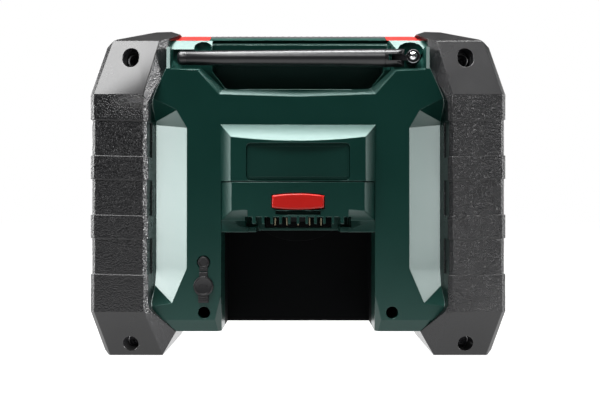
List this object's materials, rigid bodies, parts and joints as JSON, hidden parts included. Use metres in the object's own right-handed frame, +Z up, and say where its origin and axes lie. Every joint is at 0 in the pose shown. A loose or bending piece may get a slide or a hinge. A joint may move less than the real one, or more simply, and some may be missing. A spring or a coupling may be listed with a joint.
{
  "type": "jobsite radio",
  "caption": "Portable jobsite radio with rubber end bumpers, rear battery bay, folding whip antenna, front speaker, display, keys and volume dial.",
  "frame": {"origin": "centre of the radio's footprint, on the surface that the bumper feet stand on", "axes": "+Z up, the front with the speaker faces -Y, the rear with the battery bay faces +Y, +X is to the right for a person who faces the front"},
  "size_m": [0.256, 0.15, 0.2078],
  "materials": {
    "case_green": "moulded glass-filled plastic, fine texture, satin sheen",
    "bumper_black": "leather-grained moulded rubber",
    "screw_steel": "blackened zinc-plated steel",
    "grip_black": "soft moulded grip, satin",
    "accent_red": "moulded plastic, satin",
    "whip_black": "smooth moulded rubber, semi-gloss",
    "whip_metal": "black chromed steel",
    "knuckle_black": "moulded plastic, satin",
    "pivot_chrome": "polished plating with light wear",
    "button_red": "moulded plastic, semi-gloss",
    "inner_black": "moulded plastic, matt",
    "plate_grey": "plain moulded plate, satin",
    "contact_brass": "plated spring brass",
    "cap_rubber": "moulded rubber, matt",
    "grille_black": "moulded plastic, fine texture",
    "basket_steel": "black coated pressed steel",
    "cone_paper": "coated pulp",
    "magnet_ferrite": "ferrite and plated steel",
    "panel_black": "moulded plastic, satin",
    "lens_clear": "clear acrylic window",
    "display_grey": "liquid crystal module, unlit",
    "board_green": "solder-masked board",
    "key_grey": "moulded keys, satin",
    "dial_black": "moulded plastic with ribbed rim"
  },
  "bodies": {
    "root": {"rear_housing": "case_green", "front_housing": "case_green", "battery_shoe": "case_green", "bumper_left": "bumper_black", "bumper_right": "bumper_black", "bumper_screws": "screw_steel", "housing_screws": "screw_steel", "speaker_screws": "screw_steel", "grip_strip": "grip_black", "grip_end_left": "accent_red", "grip_end_right": "accent_red", "antenna_screw": "pivot_chrome", "latch_spring": "screw_steel", "rating_plate": "plate_grey", "bay_liner": "inner_black", "terminal_block": "inner_black", "terminal_blades": "contact_brass", "dc_jack": "inner_black", "dc_cap_anchor": "cap_rubber", "shell_seal": "cap_rubber", "speaker_grille": "grille_black", "speaker_basket": "basket_steel", "speaker_surround": "cap_rubber", "speaker_cone": "cone_paper", "dust_cap": "cone_paper", "speaker_magnet": "magnet_ferrite", "control_panel": "panel_black", "display_lens": "lens_clear", "display_module": "display_grey", "control_board": "board_green", "encoder": "inner_black", "encoder_nut": "screw_steel", "main_board": "board_green"},
    "release": {"release_button": "button_red"},
    "latch": {"latch_bolt": "inner_black"},
    "antenna_swivel": {"antenna_base": "knuckle_black", "antenna_pin": "whip_metal"},
    "antenna": {"antenna_ferrule": "whip_black", "antenna_whip": "whip_black"},
    "socket_cap": {"dc_cap": "cap_rubber"},
    "dial": {"volume_dial": "dial_black", "dial_shaft": "screw_steel"},
    "power_key": {"power_key": "button_red"},
    "mode_key": {"mode_key": "key_grey"},
    "preset_key_1": {"preset_key_1": "key_grey"},
    "preset_key_2": {"preset_key_2": "key_grey"},
    "preset_key_3": {"preset_key_3": "key_grey"},
    "preset_key_4": {"preset_key_4": "key_grey"}
  },
  "joints": [
    {"name": "release_press", "type": "slide", "parent": "root", "child": "release", "axis": [0, -1, 0], "range_m": [0, 0.003], "stiffness_N_per_m": 300, "springref_m": -0.002},
    {"name": "latch_lift", "type": "slide", "parent": "root", "child": "latch", "axis": [0, 0, 1], "range_m": [0, 0.003], "stiffness_N_per_m": 200, "springref_m": -0.002, "deforming": ["latch_spring"]},
    {"name": "antenna_swing_up", "type": "hinge", "parent": "root", "child": "antenna_swivel", "pos_m": [-0.0723, 0.053, 0.1882], "axis": [0, -1, 0], "range_deg": [0, 90]},
    {"name": "antenna_swing_out", "type": "hinge", "parent": "antenna_swivel", "child": "antenna", "pos_m": [-0.0625, 0.0558, 0.1874], "axis": [0, 0, 1], "range_deg": [0, 90]},
    {"name": "socket_cap_open", "type": "hinge", "parent": "root", "child": "socket_cap", "pos_m": [0.0592, 0.0629, 0.0522], "axis": [1, 0, 0], "range_deg": [0, 110], "stiffness_Nm_per_rad": 0.002},
    {"name": "dial_turn", "type": "hinge", "parent": "root", "child": "dial", "pos_m": [0, -0.07, 0.036], "axis": [0, -1, 0], "continuous": true},
    {"name": "power_key_press", "type": "slide", "parent": "root", "child": "power_key", "axis": [0, 1, 0], "range_m": [0, 0.001], "stiffness_N_per_m": 400, "springref_m": -0.0005},
    {"name": "mode_key_press", "type": "slide", "parent": "root", "child": "mode_key", "axis": [0, 1, 0], "range_m": [0, 0.001], "stiffness_N_per_m": 400, "springref_m": -0.0005},
    {"name": "preset_key_1_press", "type": "slide", "parent": "root", "child": "preset_key_1", "axis": [0, 1, 0], "range_m": [0, 0.001], "stiffness_N_per_m": 400, "springref_m": -0.0005},
    {"name": "preset_key_2_press", "type": "slide", "parent": "root", "child": "preset_key_2", "axis": [0, 1, 0], "range_m": [0, 0.001], "stiffness_N_per_m": 400, "springref_m": -0.0005},
    {"name": "preset_key_3_press", "type": "slide", "parent": "root", "child": "preset_key_3", "axis": [0, 1, 0], "range_m": [0, 0.001], "stiffness_N_per_m": 400, "springref_m": -0.0005},
    {"name": "preset_key_4_press", "type": "slide", "parent": "root", "child": "preset_key_4", "axis": [0, 1, 0], "range_m": [0, 0.001], "stiffness_N_per_m": 400, "springref_m": -0.0005}
  ],
  "couplings": [
    {"joint": "latch_lift", "follows": "release_press", "ratio": 1}
  ]
}
